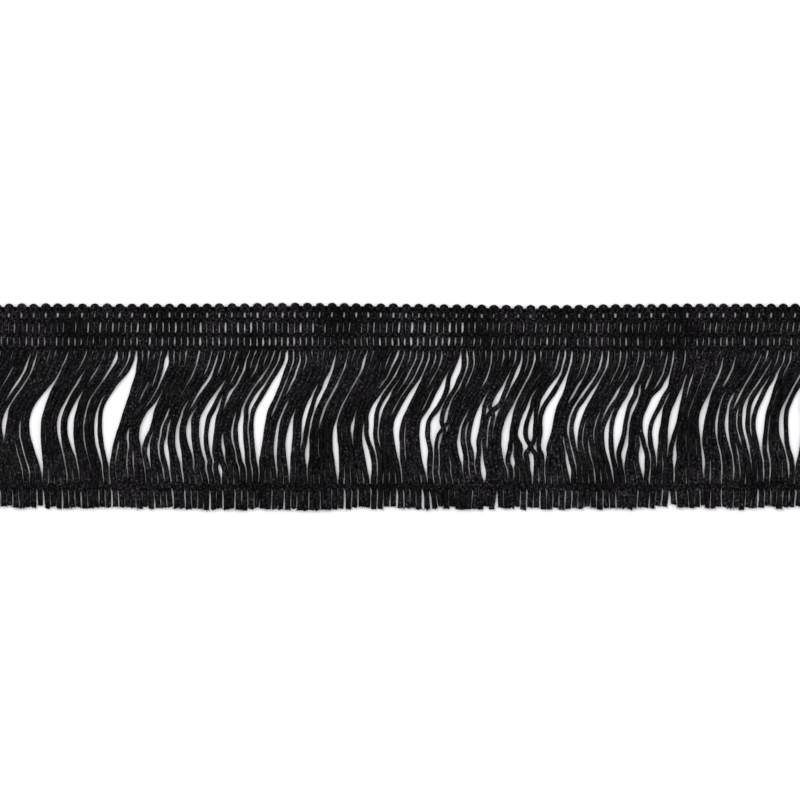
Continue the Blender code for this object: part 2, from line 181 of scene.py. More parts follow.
def smooth(t):
    # 3t^2 - 2t^3 between 0 and 1
    t = np.clip(t, 0, 1)
    return t * t * (3 - 2 * t)


def rising(at, start, over):
    # 0 up to the start, then smoothly to 1
    return smooth((at - start) / over)


def loopCentres():
    # an even pitch, plus half a cosine and one sine over the whole length, and each loop's own place
    number = np.arange(layout["loops"])
    middle = (layout["loops"] - 1) / 2
    share = (number - middle) / middle
    drift = layout["crowd"] * np.cos(math.pi / 2 * share) + layout["swing"] * np.sin(math.pi * share)
    return layout["pitch"] * (number - middle) + drift + eased(loopRows, 1, number)


def ofLoops(rows, column=1):
    # the column's value for both legs of each loop
    return np.repeat(eased(rows, column, np.arange(layout["loops"])), 2)


def eased(rows, column, at):
    # the column's value at each place, easing from one row to the next
    rows = np.array(rows)
    row = np.clip(np.searchsorted(rows[:, 0], at, side="right") - 1, 0, len(rows) - 2)
    share = smooth((at - rows[row, 0]) / (rows[row + 1, 0] - rows[row, 0]))
    return rows[row, column] * (1 - share) + rows[row + 1, column] * share


def openingsAt(below):
    # each gap's width at each distance below the heading: openingShare * widest *
    # sin(pi/2 t) ^ openingExponent, with t from 0 at either end of its stretch to 1 where it is widest
    wide = np.zeros((len(below), len(everyLeg) - 1))
    for gap, start, peak, stop, widest in openingRows:
        share = np.where(below < peak, (below - start) / (peak - start), (stop - below) / (stop - peak))
        wide[:, gap] += widest * np.sin(math.pi / 2 * np.clip(share, 0, 1)) ** layout["openingExponent"]
    return wide * layout["openingShare"]


def slitsAt(below):
    # 1 where a gap shows light, 0 where its legs touch, and less in a short stretch than a long one
    shows = np.zeros((len(below), len(everyLeg) - 1))
    over, outside = layout["slitEases"]
    shortest, each = layout["slitShort"]
    for gap, ends in slits.items():
        for start, stop in zip(ends[0::2], ends[1::2]):
            shown = smooth((below - start) / over + outside) * smooth((stop - below) / over + outside)
            shown *= min(1, shortest + each * (stop - start))
            shows[:, gap] = np.maximum(shows[:, gap], shown)
    return shows


def pushedAside(widened):
    # what widening each gap does to the legs: the sum to a leg's left, less its running mean
    pushed = np.pad(np.cumsum(widened, axis=1), ((0, 0), (1, 0)))
    apart = (everyLeg[:, None] - everyLeg) / layout["legsThatGive"]
    weights = np.exp(-0.5 * apart**2)
    weights /= weights.sum(axis=1, keepdims=True)
    return pushed - pushed @ weights.T


def freeLegs(below):
    # X of every leg at each distance below the heading: top place - slant - lean - bow - early, plus
    # what the openings do, with slantBy * (1 - exp(-below / slantOver)) - slantAt for the slant
    slants = ofLoops(slantRows)
    middles = np.repeat(loopCentres(), 2) + sideOfLoop * layout["legsApart"] / 2
    top = middles - ofLoops(loopRows, 2) + layout["slantAt"] * slants
    share = np.clip(below / layout["freeLength"], 0, 1)
    lean, bow, early = (eased(swayRows, column, everyLeg) for column in (1, 2, 3))
    leaned = smooth(share)[:, None] * lean
    bowed = (np.sin(math.pi * share ** layout["bowExponent"]) ** 2)[:, None] * bow
    early = np.sin(2 * math.pi * share)[:, None] * early
    slant = layout["slantBy"] * (1 - np.exp(-below / layout["slantOver"]))
    slant -= layout["slantAt"] * rising(below, 0, layout["slantGone"])
    return top - slant[:, None] * slants - leaned - bowed - early + pushedAside(openingsAt(below))


def settled(x, wide, below, step):
    # the legs after some pushes, each widening a gap by shows * max(0, wide + light - gap) where it
    # shows light, and by closes * (1 - shows) * min(0, touch * wide - gap) where its legs touch
    shows = slitsAt(below)
    high, low = layout["givesOver"]
    held = smooth(below / high) * smooth((layout["freeLength"] + layout["givesPast"] - below) / low)
    both = (wide[:, 1:] + wide[:, :-1]) / 2
    above, under = layout["slit"]
    light = (above + (under - above) * rising(below, *layout["lowDown"]))[:, None]
    slope = np.gradient(x, step, axis=0)
    steep = blur(np.sqrt(1 + ((slope[:, 1:] + slope[:, :-1]) / 2) ** 2), layout["slopeBlur"])
    mostApart, mostTogether = layout["mostPush"]
    for _ in range(layout["pushes"]):
        gap = np.diff(x, axis=1) / steep
        lacks = shows * np.clip(both + light - gap, 0, mostApart)
        spare = (1 - shows) * np.clip(layout["touch"] * both - gap, -mostTogether, 0)
        pushed = held[:, None] * steep * (lacks + layout["closes"] * spare)
        x = x + pushedAside(blur(pushed, layout["pushBlur"]))
    return x


# the knitted yarn. A pair named Where is how far down a change starts, and the length it comes over
yarn = {
    "thick": 0.95,
    "headingThick": 0.86,
    "thickOver": 2.0,
    "turnWide": 1.1,
    "turnRadius": 0.58,  # of the yarn's middle
    "turnFlat": 0.8,  # below 1, flatter than a half circle
    "parted": 0.83,  # half the way between a loop's legs, just below its turn
    "partsWhere": (1.5, 1.1),
    "evensWhere": (3.3, 1.4),  # to the leg spacing
    "pairedBy": 0.07,  # closer between rows 2 and 3
    "pairsWhere": (5.8, 1.7),  # its middle, and how far it reaches
    "lateWhere": (3.0, 5.0),
    "lateEnds": 2.2,  # above the heading's end
    "tipAt": 0.14,
    "dipsWhere": (0.3, 3.0),  # the dips of the loop tips fade
    "spread": 0.15,  # wider where a stitch presses on it
    "pressed": 0.14,  # and thinner
    "pressedOver": 0.7,
    # painted shade: how far beside each row the yarn's sides are painted dark
    "darkOver": 0.28,  # the shade beside a row
    "thickens": 0.25,  # of the share of its width that a crowded leg loses
    "lies": (0.12, 0.22),  # higher, in the heading and low down
    "liftsWhere": (27.6, 10.0),
    "sides": 8,
    "turnRings": 12,
    "legRings": 206,
    "ringEvery": 0.26,
    "ringsToStitch": 4,
    "crest": 0.085,  # of the radius, how far stitches stand out and sink in
    "crestBeside": 0.35,  # of it, at the yarn's sides
    "groove": 0.08,  # between the wales
    # painted shade in the grooves between wales: this share less painted highlight there
    "grooveShade": 0.5,
    "slant": 0.15,  # how far a stitch's V points along the yarn
    # painted shade: how dark the holes between the stitches are painted
    "holeShade": 0.9,  # how dark it is between stitches
    "crossRise": 0.85,
    "overlap": 1.08,  # of its room, how wide a crowded leg is
    "squeezed": 0.78,  # of its width, the least
    "edgeRoom": 3.0,  # beyond the outer legs
    "wideBlur": 3,  # steps
    "rideBlur": 5,
    "rides": (0.75, 1.0),  # the least and the most
    "tailsRide": 0.5,
    "looseOver": 3.0,  # past where it is held
    "tailOver": 5.0,
    "twistEvery": 34.0,
    "twistUneven": (1.2, 60),  # this and the next four: how much, and steps from turn to turn
    "puff": (0.05, 10),
    "waver": (0.05, 14),
    "headingWaver": (0.075, 11),
    "tailsWander": (0.05, 8),
    "waversPast": 1.5,  # the heading's end
    "slackOver": 0.8,
    "tailsDrift": 0.32,  # to +X
    "driftOver": 1.5,
    # painted highlight: this much more on the tails
    "tailsLighter": 0.2,
    "lighterWhere": (45.16, 1.5),
    "ragged": 0.2,  # how unevenly plies are cut
    "unevenCut": 0.27,  # and tails
    "cutLimits": (-0.55, 0.4),
    "runsOn": 1.0,  # past the cut
    "pieces": 4,
    "seed": 11,
}

# down from the loop tips, and how wide the yarn is there
widthRows = [
    (0, 1.06), (1.3, 1.1), (2.4, 1.34), (3, 1.36), (4.1, 1.38), (6, 1.395), (7.8, 1.365), (9.4, 1.345),
    (10.9, 1.36), (11.6, 1.37), (16, 1.31), (21, 1.24), (29, 1.22), (34, 1.28), (40, 1.4), (43, 1.46),
    (44.7, 1.48), (46.3, 1.46), (48, 1.435), (49.3, 1.455), (50.5, 1.58),
]

# X from halfway along the heading, and how slack the yarn is between rows 2 and 3, and 3 and 4
slackRows = [
    (-106, 0.04, 0.05), (-92, 0.03, 0.03), (-70, 0.01, 0.02), (-54, -0.01, 0), (-38, -0.03, -0.04),
    (-27, -0.03, -0.08), (-24, 0.02, 0.07), (-14, 0.02, 0.08), (-9, -0.01, -0.05), (-4, -0.06, -0.08),
    (8, -0.06, -0.08), (12, 0.01, 0.02), (22, 0.02, 0.03), (40, 0.02, 0), (52, -0.03, 0), (62, 0.03, 0.04),
    (65, 0.05, 0.1), (68, 0.02, 0.1), (71, -0.03, -0.06), (90, -0.04, -0.07), (110, -0.02, -0.03),
]

# gap after leg number, the light between the tails just below the holding row, and at the cut
tailGapRows = [
    (2, 0.1, 0.2), (5, 0.3, 0), (7, 0.1, 0.3), (8, 0.1, 0.15), (10, 0.1, 0), (11, 0.2, 0.45),
    (12, 0.1, 0.6), (13, 0.25, 0), (15, 0.3, 0.6), (16, 0.05, 0.2), (17, 0.15, 0.15), (18, 0.25, 0.35),
    (19, 0.05, 0.15), (21, 0.15, 0.05), (22, 0.2, 0.35), (23, 0.2, 0.35), (24, 0.25, 0.35), (26, 0.3, 0.1),
    (27, 0.3, 0.25), (28, 0.35, 0.3), (30, 0.2, 0.35), (32, 0, 0.2), (33, 0.3, 0.15), (35, 0.3, 0.3),
    (36, 0.3, 0.1), (37, 0.2, 0.15), (39, 0.15, 0.5), (40, 0.2, 0.05), (41, 0.15, 0.3), (43, 0.25, 0.3),
    (44, 0.2, 0.2), (45, 0.15, 0.2), (46, 0.15, 0.05), (49, 0.3, 0.25), (51, 0.3, 0.3), (52, 0.2, 0.1),
    (54, 0, 0.1), (55, 0.1, 0.2), (57, 0.2, 0.3), (59, 0.25, 0.15), (60, 0.1, 0.05), (61, 0.5, 0.5),
    (62, 0.3, 0.1), (63, 0.35, 0.35), (64, 0.2, 0.1), (65, 0.1, 0.2), (66, 0.3, 0.2), (67, 0.25, 0.2),
    (68, 0.35, 0.3), (69, 0.45, 0.45), (70, 0.3, 0.35), (71, 0.15, 0), (72, 0.15, 0.1), (73, 0.45, 0.6),
    (74, 0.45, 0.55), (75, 0.2, 0.1), (76, 0.2, 0.1), (77, 0.35, 0.05), (78, 0.3, 0.1), (79, 0.2, 0.05),
    (80, 0.1, 0), (81, 0.3, 0.25), (83, 0.2, 0), (84, 0.3, 0.1), (85, 0.1, 1.5), (86, 0.3, 0),
    (88, 0.35, 0), (89, 0.2, 0), (90, 0.5, 0.3), (92, 0.2, 0.35), (93, 0.3, 0), (94, 0.15, 0.15),
    (95, 0.1, 0), (96, 0.3, 0.1), (97, 0.2, 0.2), (98, 0.1, 0), (101, 0.1, 0.15), (103, 0.1, 0.1),
    (105, 0.15, 0.3), (108, 0.25, 0.05), (111, 0.2, 0), (112, 0.3, 0), (113, 0.2, 1.2), (117, 0.1, 0.15),
    (118, 0.15, 0.05), (122, 0.2, 0.1), (123, 0.3, 0.05), (124, 0.1, 0), (125, 0.3, 0.05), (126, 0.2, 0.1),
    (127, 0.1, 0.05), (128, 0.4, 0.35), (129, 0.3, 0.4), (130, 0.25, 0.05), (131, 0.3, 0.1),
    (132, 0.3, 0.05), (133, 0.4, 0.1), (134, 0.25, 0.3), (137, 0.2, 0.3),
]

# leg number, and how far its tail leans to +X by the cut
tailLeanRows = [
    (0, 0.35), (11, 0.2), (22, 0.2), (26, 0.3), (33, 0.35), (39, 0.05), (49, -0.15), (57, 0), (61, -0.15),
    (65, -0.3), (68, -0.25), (70, 0.05), (73, 0.1), (75, 0.5), (79, 0.15), (82, -0.3), (90, -0.2),
    (94, -0.1), (98, -0.15), (101, 0), (105, 0.3), (109, -0.35), (112, -0.4), (114, 0.1), (116, 0.2),
    (118, 0.05), (121, -0.2), (127, -0.35), (129, -0.1), (131, -0.25), (134, -0.3), (139, -0.3),
]

# X from halfway along the heading, and how much shorter the tails are cut there
tailRows = [
    (-110, 0.3), (-80, 0.35), (-60, 0.1), (-45, -0.1), (-15, 0), (0, 0.1), (25, 0.15), (44, -0.1),
    (52, 0.1), (58, 0.6), (68, 0.55), (76, 0.1), (90, 0.3), (110, 0.4),
]


def blur(values, sigma):
    # a running Gaussian mean down the rows
    reach = int(3 * sigma)
    weights = np.exp(-0.5 * (np.arange(-reach, reach + 1) / sigma) ** 2)
    weights /= weights.sum()
    padded = np.pad(values, ((reach, reach), (0, 0)), mode="edge")
    return sum(w * padded[i : i + len(values)] for i, w in enumerate(weights))


def slowNoise(random, rows, columns, every):
    # a smooth random curve down each column, between -1 and 1, turning about every so many rows
    knots = random.uniform(-1, 1, (rows // every + 4, columns))
    at = np.arange(rows) / every
    low = at.astype(int)
    share = smooth(at - low)[:, None]
    return knots[low] * (1 - share) + knots[low + 1] * share


def tipDrop(x):
    # how much lower the loop tips lie: a sum of bells, deep * exp(-((x - at) / wide)^2)
    return sum(deep * np.exp(-(((x - at) / wide) ** 2)) for at, wide, deep in tipDips)


def heldLegs(down, turnAt):
    # X of every leg within the heading: from the turn's radius in to half the leg spacing
    end = layout["headingEnd"]
    evens = rising(down, *yarn["evensWhere"])[:, None]
    parted = rising(down, *yarn["partsWhere"])[:, None]
    apart = yarn["turnRadius"] + (yarn["parted"] - yarn["turnRadius"]) * parted
    apart = apart * (1 - evens) + layout["legsApart"] / 2 * evens
    pairsAt, reach = yarn["pairsWhere"]
    apart = apart - yarn["pairedBy"] / 2 * np.exp(-(((down - pairsAt) / reach) ** 2))[:, None]
    drawn = rising(down, turnAt, end - turnAt)[:, None]
    late = (rising(down, *yarn["lateWhere"]) * smooth((end - down) / yarn["lateEnds"]))[:, None]
    leaving = layout["slantAt"] * rising(down, layout["slantFrom"], end - layout["slantFrom"])
    x = np.repeat(loopCentres(), 2) + sideOfLoop * apart - ofLoops(loopRows, 2) * drawn
    return x + late * ofLoops(lateRows) + leaving[:, None] * ofLoops(slantRows)


def betweenRows(down):
    # 0 at every row of the heading, rising to 1 halfway between two of them
    rows = [0.0, *layout["rowsAt"], layout["headingEnd"] + yarn["waversPast"]]
    between = np.zeros_like(down)
    for upper, lower in zip(rows[:-1], rows[1:]):
        inside = (down > upper) & (down < lower)
        between[inside] = np.sin(math.pi * (down[inside] - upper) / (lower - upper)) ** 2
    return between


def rowBells(down, over):
    # the sum of exp(-((down - at) / over)^2) for every chain-stitched row
    return sum(np.exp(-(((down - at) / over) ** 2)) for at in (*layout["rowsAt"], layout["holdingAt"]))


def slackAt(down, x):
    # how slack the yarn lies between the rows of the heading
    slack = np.ones_like(x)
    for column in (1, 2):
        upper, lower = layout["rowsAt"][column : column + 2]
        inside = rising(down, upper, yarn["slackOver"]) * smooth((lower - down) / yarn["slackOver"])
        slack += inside[:, None] * eased(slackRows, column, x)
    return slack


def tailsAside(down):
    # how the gaps between the tails push them, each going evenly from its width at the top to its
    # width at the cut, plus lean * share
    past = down - layout["holdingAt"]
    share = np.clip(past / (layout["cutAt"] - layout["holdingAt"]), 0, 1)
    opens = rising(past, *layout["tailsOpen"])
    least, some = layout["tailLight"]
    light = np.zeros((len(down), len(everyLeg) - 1))
    for gap, high, low in tailGapRows:
        light[:, gap] = opens * (least * (1 - share) + some * (high * (1 - share) + low * share))
    return pushedAside(light) + share[:, None] * eased(tailLeanRows, 1, everyLeg)


def legPaths():
    # the centre line, width and thickness of every leg, from the loop's turn down to the cut
    random = np.random.default_rng(yarn["seed"])
    step, holdingAt = layout["step"], layout["holdingAt"]
    turnAt = yarn["tipAt"] + yarn["turnWide"] / 2 + yarn["turnRadius"]
    down = np.arange(turnAt, layout["cutAt"] + yarn["runsOn"], step)
    below = down - layout["headingEnd"]
    loose = smooth(below / yarn["looseOver"]) * smooth((holdingAt - down) / yarn["looseOver"])
    tail = rising(down, holdingAt, yarn["tailOver"])

    def wander(name):
        much, every = yarn[name]
        return much * slowNoise(random, len(down), len(everyLeg), every)

    free = eased(widthRows, 1, down)[:, None] * (1 + wander("puff"))
    x = np.where(below[:, None] > 0, freeLegs(np.maximum(below, 0)), heldLegs(down, turnAt))
    free = free * slackAt(down, x)
    x += loose[:, None] * wander("waver")
    x = settled(x, free, below, step)
    x += betweenRows(down)[:, None] * wander("headingWaver")
    x += tailsAside(down) + yarn["tailsDrift"] * rising(down, holdingAt, yarn["driftOver"])[:, None]
    x += tail[:, None] * wander("tailsWander")

    # a crowded leg narrows towards the room it has, square to its path, and thickens
    room = np.pad(np.diff(x, axis=1), ((0, 0), (1, 1)), constant_values=yarn["edgeRoom"])
    square = 1 / np.sqrt(1 + np.gradient(x, step, axis=0) ** 2)
    least = np.minimum(room[:, :-1], room[:, 1:]) * square
    wide = blur(free * np.clip(yarn["overlap"] * least / free, yarn["squeezed"], 1), yarn["wideBlur"])
    over = yarn["thickOver"]
    inHeading = smooth((layout["headingEnd"] + over / 2 - down) / over)[:, None]
    thick = yarn["thick"] * (1 - inHeading) + yarn["headingThick"] * inHeading
    thick = thick * (1 + yarn["thickens"] * (1 - wide / free))
    pinch = rowBells(down, yarn["pressedOver"])
    thick = thick * (1 - yarn["pressed"] * pinch[:, None])
    wide = wide * (1 + yarn["spread"] * pinch[:, None])

    # every other leg rides up on its neighbours where they are crowded closer than its width
    share = np.clip(least / wide, 0, 1)
    rides = thick * np.sqrt(1 - share**2) * (everyLeg % 2)
    rides *= random.uniform(*yarn["rides"], len(everyLeg)) * (loose + yarn["tailsRide"] * tail)[:, None]
    rides = blur(rides, yarn["rideBlur"])
    headingLies, tailsLie = yarn["lies"]
    higher = headingLies * inHeading + tailsLie * rising(down, *yarn["liftsWhere"])[:, None]
    z = thick / 2 * (1 + yarn["crest"]) + rides + higher

    # where two legs cross, the left one passes over the right one
    for gap, at, long in crossRows:
        crossed = (x[:, gap + 1] - x[:, gap]) * smooth((below - at) / long + 0.5)
        x[:, gap] += crossed
        x[:, gap + 1] -= crossed
        z[:, gap] += yarn["crossRise"] * np.exp(-(((below - at) / long) ** 2))
    return down, x, z, wide, thick


def evenlyAlong(columns, rings):
    # one leg's X, Y, Z and other values at equal steps of its length
    length = np.append(0, np.cumsum(np.linalg.norm(np.diff(columns[:3]), axis=0)))
    at = np.linspace(0, length[-1], rings)
    return np.stack([np.interp(at, length, column) for column in columns], axis=1)


def loopPaths():
    # one row of rings for each loop: cut end, up the left leg, round the turn, down the right leg
    random = np.random.default_rng(yarn["seed"] + 1)
    down, x, z, wide, thick = legPaths()
    uneven = np.clip(random.normal(0, yarn["unevenCut"], len(everyLeg)), *yarn["cutLimits"])
    cut = layout["cutAt"] - eased(tailRows, 1, x[-1]) + uneven
    made = []
    for leg in everyLeg:
        at = np.append(down[down < cut[leg]], cut[leg])
        columns = [np.interp(at, down, given[:, leg]) for given in (x, z, wide, thick)]
        columns.insert(1, -at)
        made.append(evenlyAlong(columns, yarn["legRings"]))
    made = np.array(made)
    leftLegs, rightLegs = made[0::2, ::-1], made[1::2]
    start, end = leftLegs[:, -1:], rightLegs[:, :1]
    angle = np.linspace(math.pi, 0, yarn["turnRings"] + 2)[1:-1]
    share = np.linspace(0, 1, yarn["turnRings"] + 2)[1:-1, None]
    turn = start * (1 - share) + end * share
    centre, radius = (start + end) / 2, (end - start)[..., 0] / 2
    turn[..., 0] = centre[..., 0] + radius * np.cos(angle)
    turn[..., 1] = centre[..., 1] + radius * np.sin(angle) ** yarn["turnFlat"]
    loops = np.concatenate([leftLegs, turn, rightLegs], axis=1)
    fades, over = yarn["dipsWhere"]
    loops[..., 1] -= tipDrop(loops[..., 0]) * smooth(1 - (-loops[..., 1] - fades) / over)
    loops[..., 0] += middleX
    loops[..., 1] += tipsY
    return loops


def unit(vectors):
    return vectors / np.linalg.norm(vectors, axis=-1, keepdims=True)


def ringsOn(path, angle, halfWide, halfThick):
    # rings of points round a path, at centre + level * halfWide cos(angle) + up * halfThick
    # sin(angle), with level and up square to the path, and the path's direction
    along = unit(np.gradient(path, axis=-2))
    level = unit(np.cross(along, [0.0, 0.0, 1.0]))
    across = level[..., None, :] * (halfWide * np.cos(angle))[..., None]
    rise = np.cross(level, along)[..., None, :] * (halfThick * np.sin(angle))[..., None]
    return path[..., None, :] + across + rise, along


def roundRing(sides):
    # the angles of the points of a ring
    return 2 * math.pi * np.arange(sides) / sides


def yarnSurface(loops, phase):
    # rings along each path, fuller by crest cos(2 pi ring / ringsToStitch), which is less at the sides,
    # and grooved between wales. Every second point of a ring lies further along the yarn by the
    # slant, and the others further back, so that each swelling becomes a row of Vs
    path = loops[..., :3]
    odd = np.arange(yarn["sides"]) % 2
    turned = phase[..., None] + roundRing(yarn["sides"])
    swell = np.cos(2 * math.pi * np.arange(path.shape[1]) / yarn["ringsToStitch"])[:, None]
    onTop = yarn["crestBeside"] + (1 - yarn["crestBeside"]) * np.sin(turned) ** 2
    radius = 1 + yarn["crest"] * swell * onTop - yarn["groove"] * odd
    halfWide, halfThick = loops[..., 3:4] / 2 * radius, loops[..., 4:5] / 2 * radius
    surface, along = ringsOn(path, turned, halfWide, halfThick)
    surface += along[:, :, None] * (yarn["slant"] * (2 * odd - 1))[:, None]
    random = np.random.default_rng(yarn["seed"] + 3)
    for end in (0, -1):
        ragged = random.normal(0, yarn["ragged"], (len(path), yarn["sides"], 1))
        surface[:, end] += along[:, end, None] * ragged
    down = tipsY - path[..., 1]
    # painted light: raised is the share of painted highlight, full on the crests of the stitches, less in
    # the grooves between wales, and more on the tails
    lighter = 1 + yarn["tailsLighter"] * rising(down, *yarn["lighterWhere"])
    raised = (0.5 + 0.5 * swell) * (1 - yarn["grooveShade"] * odd) * lighter[..., None]
    # painted shade: near black down the holes between stitches, and at the yarn's sides beside each row
    shadeInHoles = yarn["holeShade"] * np.clip(-swell, 0, 1) * odd
    painted_shade = np.maximum(rowBells(down, yarn["darkOver"])[..., None] * np.cos(turned) ** 2, shadeInHoles)
    return surface, raised, painted_shade


def tubeFaces(tubes, rings, sides):
    # quads between each ring and the next, and the UV of their corners: 0 to 1 round, rings along
    tube, ring, point, corner = np.ogrid[:tubes, : rings - 1, :sides, :4]
    ring, point = ring + corner // 2, point + (corner + 1) // 2 % 2
    quads = (tube * rings + ring) * sides + point % sides
    return quads, np.stack(np.broadcast_arrays(point / sides + 0 * tube, ring), axis=-1)


def tubeCaps(tubes, rings, sides):
    # one polygon over the first ring of every tube and one over the last
    start = np.arange(tubes)[:, None] * rings * sides
    point = np.arange(sides)
    return np.concatenate([start + point[::-1], start + (rings - 1) * sides + point])


def linked(name, data):
    obj = bpy.data.objects.new(name, data)
    bpy.context.scene.collection.objects.link(obj)
    return obj


def newTubes(name, points, values, material, stands=()):
    # one mesh of closed tubes, from points by tube, ring and point of the ring, in mm
    tubes, rings, sides = points.shape[:3]
    quads, uv = tubeFaces(tubes, rings, sides)
    caps = tubeCaps(tubes, rings, sides)
    mesh = bpy.data.meshes.new(name)
    mesh.vertices.add(tubes * rings * sides)
    mesh.vertices.foreach_set("co", (points * mm).astype(np.float32).ravel())
    corners = np.append(quads, caps).astype(np.int32)
    mesh.loops.add(len(corners))
    mesh.loops.foreach_set("vertex_index", corners)
    starts = np.append(np.arange(0, quads.size, 4), np.arange(quads.size, len(corners), sides))
    mesh.polygons.add(len(starts))
    mesh.polygons.foreach_set("loop_start", starts.astype(np.int32))
    mesh.update(calc_edges=True)
    mesh.shade_smooth()
    layer = mesh.uv_layers.new(name="alongYarn")
    layer.data.foreach_set("uv", np.append(uv, np.zeros(2 * caps.size)).astype(np.float32))
    for key, value in values.items():
        attribute = mesh.attributes.new(key, "FLOAT", "POINT")
        value = np.broadcast_to(value, points.shape[:3])
        attribute.data.foreach_set("value", value.astype(np.float32).ravel())
    obj = linked(name, mesh)
    mesh.materials.append(material)
    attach(obj, "root")
    if stands:
        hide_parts(*stands)


def makeYarn(material):
    random = np.random.default_rng(yarn["seed"] + 2)
    loops = loopPaths()
    count, rings = loops.shape[:2]
    along = np.arange(rings) * yarn["ringEvery"]
    start = random.uniform(0, 2 * math.pi, (count, 1))
    much, every = yarn["twistUneven"]
    drift = slowNoise(random, rings, count, every).T * much
    phase = start + drift + 2 * math.pi * along / yarn["twistEvery"]
    surface, raised, painted_shade = yarnSurface(loops, phase)
    shade = random.uniform(0, 1, (count, 1, 1))
    edges = np.linspace(0, count, yarn["pieces"] + 1).astype(int)
    for number in range(yarn["pieces"]):
        part = slice(edges[number], edges[number + 1])
        values = {"raised": raised[part], "shade": shade[part], "painted_shade": painted_shade[part]}
        newTubes(f"looped_yarn_{number + 1}", surface[part], values, material, ["fringe"])
    print("looped yarn:", count, "loops of", rings, "rings")
    return loops


# loose fibre, at the cut ends and along the legs. Pairs are the least and the most
fray = {
    "rings": 4,
    "sides": 3,
    "taper": 0.7,
    "lowest": 0.03,  # above the table
    # the fibres get a fixed share of painted highlight and no painted shade
    "values": {"raised": 0.7, "shade": 0.5, "painted_shade": 0},
    "seed": 41,
    "fibres": 20,  # at each cut end
    "out": 0.85,  # how far from its middle they start, squared
    "within": 0.3,  # and how far inside the yarn
    "inset": 3,  # rings back that give the direction
    "splay": 0.7,
    "stray": (0.25, 0.12),  # sideways and up
    "long": (0.1, 0.75),  # beyond the yarn
    "longShare": (0.3, 1),
    "droop": 0.1,
    "thick": 0.12,
    "thickShare": (0.7, 1.2),
    "fuzz": 1800,  # strays along the legs
    "fuzzEnds": 6,  # rings without them
    "tipFuzz": 700,  # more, about the loop tips
    "tipRings": 9,
    "ahead": 2,  # rings on that give the direction
    "fuzzFrom": 0.38,  # of the yarn's width
    "fuzzOut": 0.45,
    "fuzzUp": (-0.1, 0.35),
    "fuzzLong": (0.3, 0.8),
    "fuzzDroop": 0.12,
    "fuzzThick": 0.05,
}


def sideways(direction):
    # level, and square to each direction
    return np.stack([-direction[:, 1], direction[:, 0], 0 * direction[:, 0]], axis=1)


def makeFibres(name, start, toward, long, droop, thick, material):
    # thin tapering tubes: centre(t) = start + toward * long * t + droop * t^2
    t = np.linspace(0, 1, fray["rings"])[None, :, None]
    centre = start[:, None] + toward[:, None] * long[:, None, None] * t + droop[:, None] * t**2
    radius = thick[:, None, None] / 2 * (1 - fray["taper"] * t)
    tubes, _ = ringsOn(centre, roundRing(fray["sides"]), radius, radius)
    tubes[..., 2] = np.maximum(tubes[..., 2], fray["lowest"])
    newTubes(name, tubes, fray["values"], material, ["fringe"])
    print(name.replace("_", " ") + ":", len(tubes))


def makeFrays(loops, material):
    # a tuft of loose fibre at every cut end, spreading from the yarn's own section
    random = np.random.default_rng(fray["seed"])
    ends = np.concatenate([loops[:, 0], loops[:, -1]])
    inward = np.concatenate([loops[:, fray["inset"]], loops[:, -1 - fray["inset"]]])
    away = unit((ends - inward)[:, :3])
    ends, away = np.repeat(ends, fray["fibres"], axis=0), np.repeat(away, fray["fibres"], axis=0)
    count = len(ends)
    angle = random.uniform(0, 2 * math.pi, count)
    out = np.sqrt(random.uniform(0, fray["out"], count))
    level = sideways(away)
    start = ends[:, :3] - away * fray["within"]
    start += level * (ends[:, 3] / 2 * out * np.cos(angle))[:, None]
    start[:, 2] += ends[:, 4] / 2 * out * np.sin(angle)
    strayed, raised = fray["stray"]
    splayed = fray["splay"] * out * np.cos(angle) + random.normal(0, strayed, count)
    toward = away + level * splayed[:, None]
    toward[:, 2] += random.normal(0, raised, count)
    long = random.uniform(*fray["long"], count) * random.uniform(*fray["longShare"], count)
    droop = random.normal(0, fray["droop"], (count, 3))
    thick = fray["thick"] * random.uniform(*fray["thickShare"], count)
    makeFibres("cut_end_fibres", start, toward, fray["within"] + long, droop, thick, material)


def makeFuzz(loops, material):
    # short strays that leave the legs at a low angle
    random = np.random.default_rng(fray["seed"] + 1)
    count = fray["fuzz"] + fray["tipFuzz"]
    rings, ends, tip = loops.shape[1], fray["fuzzEnds"], fray["tipRings"]
    which, ring = random.integers(0, len(loops), count), random.integers(ends, rings - ends, count)
    ring[fray["fuzz"] :] = rings // 2 + random.integers(-tip, tip + 1, fray["tipFuzz"])
    at, beyond = loops[which, ring], loops[which, ring + fray["ahead"]]
    along = unit((beyond - at)[:, :3])
    level = sideways(along)
    side = np.where(random.uniform(size=count) < 0.5, -1.0, 1.0)
    start = at[:, :3] + level * (side * at[:, 3] * fray["fuzzFrom"])[:, None]
    toward = along * random.choice([-1.0, 1.0], count)[:, None] + level * (side * fray["fuzzOut"])[:, None]
    toward[:, 2] += random.uniform(*fray["fuzzUp"], count)
    long = random.uniform(*fray["fuzzLong"], count)
    droop = random.normal(0, fray["fuzzDroop"], (count, 3))
    makeFibres("stray_fibres", start, toward, long, droop, np.full(count, fray["fuzzThick"]), material)


# the chain-stitched rows
chain = {
    "thread": 0.42,
    "sides": 7,
    "samples": 16,  # rings of each thread to one leg
    "across": 0.375,  # how far to either side a thread passes a gap
    "dip": 0.84,  # how high they pass it
    "arch": 0.3,  # how much higher over a leg
    "lap": 0.15,  # half the height between them where they cross
    "plyEvery": 6.2,  # rings to one turn of the plies
    "plies": 0.13,
    "topWider": 1.5,  # the row under the loop tips
    "holdingWider": 0.88,
    "uneven": 0.05,
    "pastEnds": 0.8,
    "needleAt": 0.45,  # the thread underneath
    "needleWide": 0.9,
    "needleThick": 0.4,
    "seed": 23,
}


